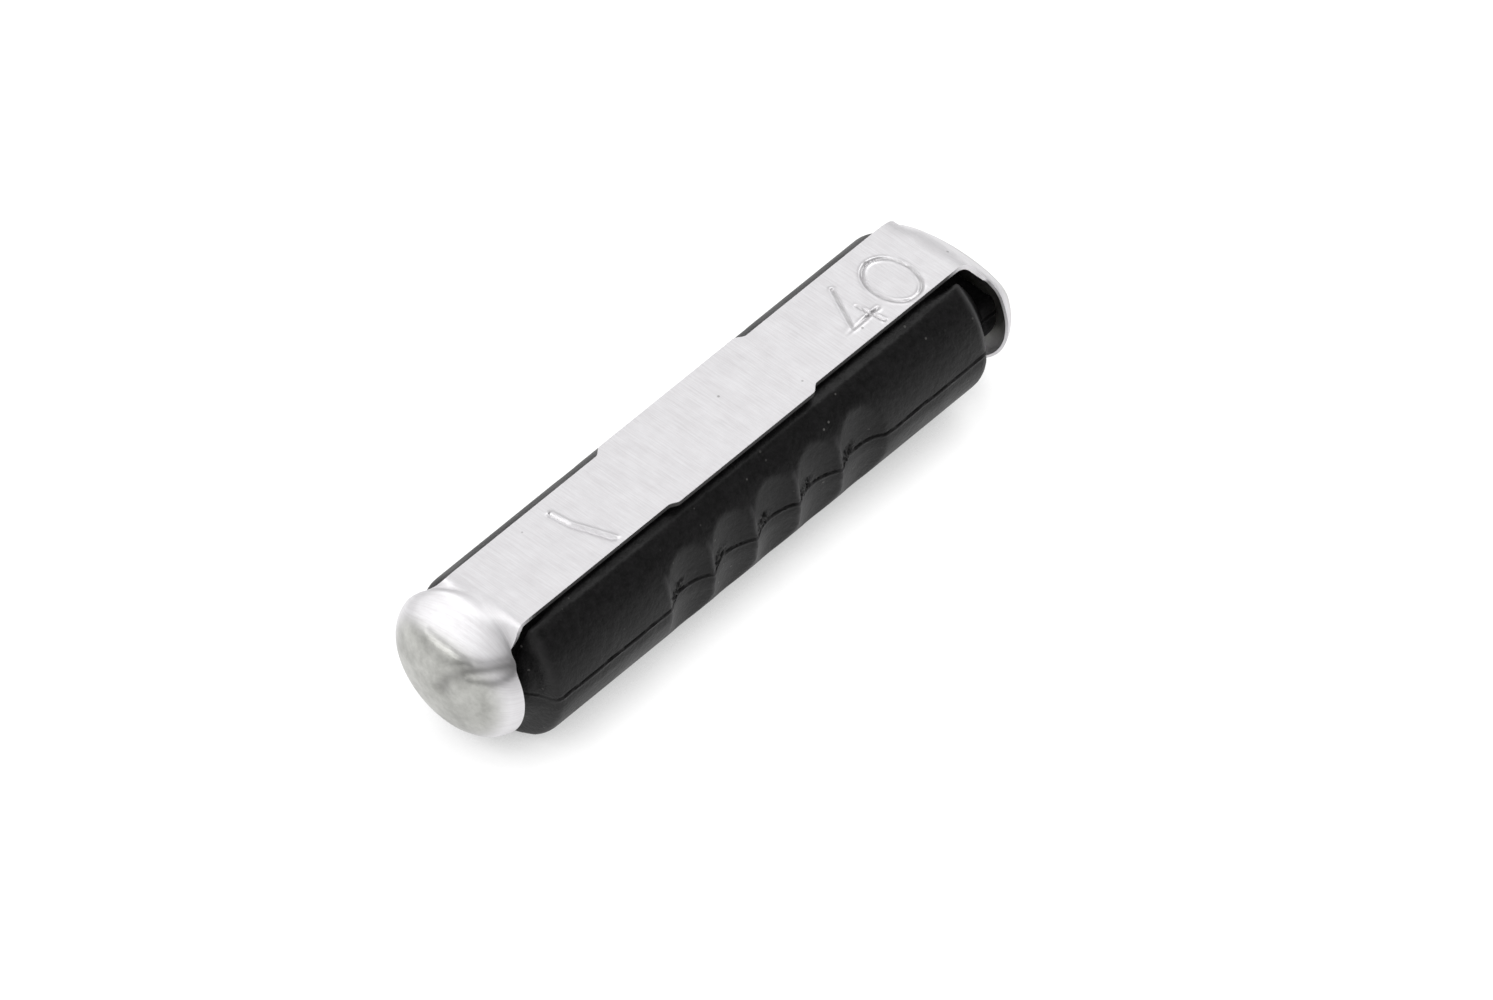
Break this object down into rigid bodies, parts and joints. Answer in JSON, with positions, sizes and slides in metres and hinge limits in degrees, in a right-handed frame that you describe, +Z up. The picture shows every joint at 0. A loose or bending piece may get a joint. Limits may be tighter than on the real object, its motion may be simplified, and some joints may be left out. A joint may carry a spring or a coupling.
{
  "type": "torpedo fuse",
  "caption": "Open automotive torpedo fuse: scalloped black insulating body with a bare metal strip along its top, folded over both ends into dished contact caps.",
  "frame": {"origin": "under the middle of the fuse, on the flat that it rests on", "axes": "+X along the fuse, from end cap to end cap; +Z up, through the strip; +Y to the far flank"},
  "size_m": [0.0248, 0.006, 0.0059],
  "materials": {
    "insulator": "satin moulded, black",
    "contact_metal": "rolled and lightly brushed, bare"
  },
  "bodies": {
    "root": {"insulator_body": "insulator", "fuse_strip": "contact_metal"}
  },
  "joints": []
}
